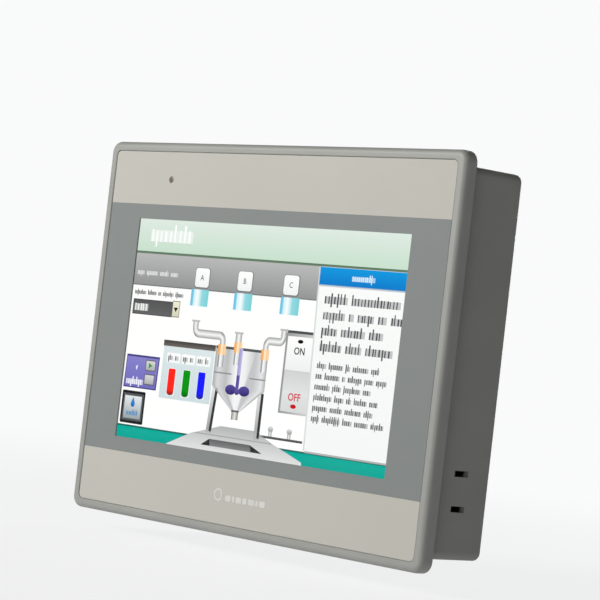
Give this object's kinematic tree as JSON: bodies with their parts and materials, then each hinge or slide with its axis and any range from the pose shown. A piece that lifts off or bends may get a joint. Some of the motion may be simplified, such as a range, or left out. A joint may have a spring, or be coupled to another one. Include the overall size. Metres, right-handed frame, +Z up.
{
  "type": "hmi touch panel",
  "caption": "Panel-mount touch screen terminal: grey bezel with a film-covered resistive touch display, dark rear housing with a recessed bay of serial, network, USB and power connectors.",
  "frame": {"origin": "middle of the seat plane, the rear face of the panel gasket", "axes": "+X to the operator's right along the long side, +Z up, the screen faces -Y and the housing reaches through the panel towards +Y"},
  "size_m": [0.2004, 0.034, 0.1466],
  "materials": {
    "bezel_plastic": "fine-grained grey moulded ABS, satin",
    "cover_plastic": "spark-eroded dark warm grey moulded ABS",
    "gasket_rubber": "black closed-cell sealing rubber",
    "front_film": "velvet polyester front film, back-printed in warm grey and mid grey",
    "light_pipe": "smoked clear acrylic",
    "clear_film": "clear hard-coated polyester",
    "touch_glass": "clear soda-lime glass",
    "adhesive_tape": "black double-sided tape",
    "flex_cable": "amber polyimide flexible circuit",
    "sheet_steel": "tinned and zinc-plated sheet, brushed",
    "display_glass": "dark polarised display glass",
    "white_film": "white optical film",
    "acrylic": "clear acrylic light guide",
    "circuit_board": "green solder mask over glass-epoxy",
    "zinc_screws": "bright zinc plate",
    "chip_plastic": "black moulded epoxy",
    "ferrite": "grey ferrite",
    "capacitor_can": "plain drawn can",
    "black_plastic": "black glass-filled nylon",
    "cell_steel": "nickel-plated steel",
    "fuse_ceramic": "white ceramic",
    "ivory_plastic": "ivory liquid-crystal polymer",
    "led_body": "clear epoxy over a green chip",
    "nickel_shell": "nickel plate",
    "gold_contact": "gold flash over brass",
    "plug_plastic": "green glass-filled nylon",
    "switch_plastic": "red moulded plastic",
    "lever_plastic": "white moulded plastic",
    "button_plastic": "black moulded plastic",
    "label_foil": "silver polyester label"
  },
  "bodies": {
    "housing": {"front_bezel": "bezel_plastic", "panel_gasket": "gasket_rubber", "overlay_film": "front_film", "status_led_lens": "light_pipe", "touch_film": "clear_film", "touch_spacer_frame": "adhesive_tape", "touch_glass": "touch_glass", "touch_tail": "flex_cable", "touch_tape_frame": "adhesive_tape", "lcd_front_frame": "sheet_steel", "lcd_cell": "display_glass", "optical_sheets": "white_film", "light_guide": "acrylic", "reflector_sheet": "white_film", "backlight_led_bar": "circuit_board", "lcd_back_tray": "sheet_steel", "lcd_driver_board": "circuit_board", "lcd_ribbon": "flex_cable", "chassis_plate": "sheet_steel", "chassis_screws": "zinc_screws", "board_standoffs": "zinc_screws", "main_board": "circuit_board", "board_screws": "zinc_screws", "processor": "chip_plastic", "memory_chips": "chip_plastic", "power_inductors": "ferrite", "filter_capacitors": "capacitor_can", "battery_holder": "black_plastic", "coin_cell": "cell_steel", "input_fuse": "fuse_ceramic", "ribbon_sockets": "ivory_plastic", "status_led": "led_body", "serial_port_shells": "nickel_shell", "serial_port_inserts": "black_plastic", "connector_pins": "gold_contact", "jack_screws": "nickel_shell", "ethernet_port": "nickel_shell", "ethernet_insert": "black_plastic", "usb_port_shells": "nickel_shell", "usb_port_tongues": "ivory_plastic", "power_socket": "plug_plastic", "dip_switch_body": "switch_plastic", "reset_switch_body": "black_plastic", "rear_cover": "cover_plastic", "cover_screws": "zinc_screws", "rating_label": "label_foil"},
    "power_plug_body": {"power_plug": "plug_plastic", "plug_contacts": "gold_contact"},
    "reset_button_body": {"reset_button": "button_plastic"},
    "terminal_screw_1_body": {"terminal_screw_1": "zinc_screws"},
    "terminal_clamp_1_body": {"terminal_clamp_1": "nickel_shell"},
    "terminal_screw_2_body": {"terminal_screw_2": "zinc_screws"},
    "terminal_clamp_2_body": {"terminal_clamp_2": "nickel_shell"},
    "terminal_screw_3_body": {"terminal_screw_3": "zinc_screws"},
    "terminal_clamp_3_body": {"terminal_clamp_3": "nickel_shell"},
    "dip_lever_1_body": {"dip_lever_1": "lever_plastic"},
    "dip_lever_2_body": {"dip_lever_2": "lever_plastic"},
    "dip_lever_3_body": {"dip_lever_3": "lever_plastic"},
    "dip_lever_4_body": {"dip_lever_4": "lever_plastic"}
  },
  "joints": [
    {"name": "power_plug_pull", "type": "slide", "parent": "housing", "child": "power_plug_body", "axis": [0, 0, -1], "range_m": [0, 0.014]},
    {"name": "reset_press", "type": "slide", "parent": "housing", "child": "reset_button_body", "axis": [0, -1, 0], "range_m": [0, 0.0004], "stiffness_N_per_m": 10, "springref_m": -0.0005},
    {"name": "dip_lever_1_slide", "type": "slide", "parent": "housing", "child": "dip_lever_1_body", "axis": [0, 0, 1], "range_m": [0, 0.0016]},
    {"name": "dip_lever_2_slide", "type": "slide", "parent": "housing", "child": "dip_lever_2_body", "axis": [0, 0, 1], "range_m": [0, 0.0016]},
    {"name": "dip_lever_3_slide", "type": "slide", "parent": "housing", "child": "dip_lever_3_body", "axis": [0, 0, 1], "range_m": [0, 0.0016]},
    {"name": "dip_lever_4_slide", "type": "slide", "parent": "housing", "child": "dip_lever_4_body", "axis": [0, 0, 1], "range_m": [0, 0.0016]},
    {"name": "terminal_screw_1_turn", "type": "hinge", "parent": "power_plug_body", "child": "terminal_screw_1_body", "pos_m": [-0.07108, 0.0205, -0.0625], "axis": [0, -1, 0], "range_deg": [0, 1440]},
    {"name": "terminal_clamp_1_rise", "type": "slide", "parent": "power_plug_body", "child": "terminal_clamp_1_body", "axis": [0, 1, 0], "range_m": [0, 0.002]},
    {"name": "terminal_screw_2_turn", "type": "hinge", "parent": "power_plug_body", "child": "terminal_screw_2_body", "pos_m": [-0.066, 0.0205, -0.0625], "axis": [0, -1, 0], "range_deg": [0, 1440]},
    {"name": "terminal_clamp_2_rise", "type": "slide", "parent": "power_plug_body", "child": "terminal_clamp_2_body", "axis": [0, 1, 0], "range_m": [0, 0.002]},
    {"name": "terminal_screw_3_turn", "type": "hinge", "parent": "power_plug_body", "child": "terminal_screw_3_body", "pos_m": [-0.06092, 0.0205, -0.0625], "axis": [0, -1, 0], "range_deg": [0, 1440]},
    {"name": "terminal_clamp_3_rise", "type": "slide", "parent": "power_plug_body", "child": "terminal_clamp_3_body", "axis": [0, 1, 0], "range_m": [0, 0.002]}
  ],
  "couplings": [
    {"joint": "terminal_screw_1_turn", "follows": "terminal_clamp_1_rise", "rad_per_m": 12566},
    {"joint": "terminal_screw_2_turn", "follows": "terminal_clamp_2_rise", "rad_per_m": 12566},
    {"joint": "terminal_screw_3_turn", "follows": "terminal_clamp_3_rise", "rad_per_m": 12566}
  ]
}
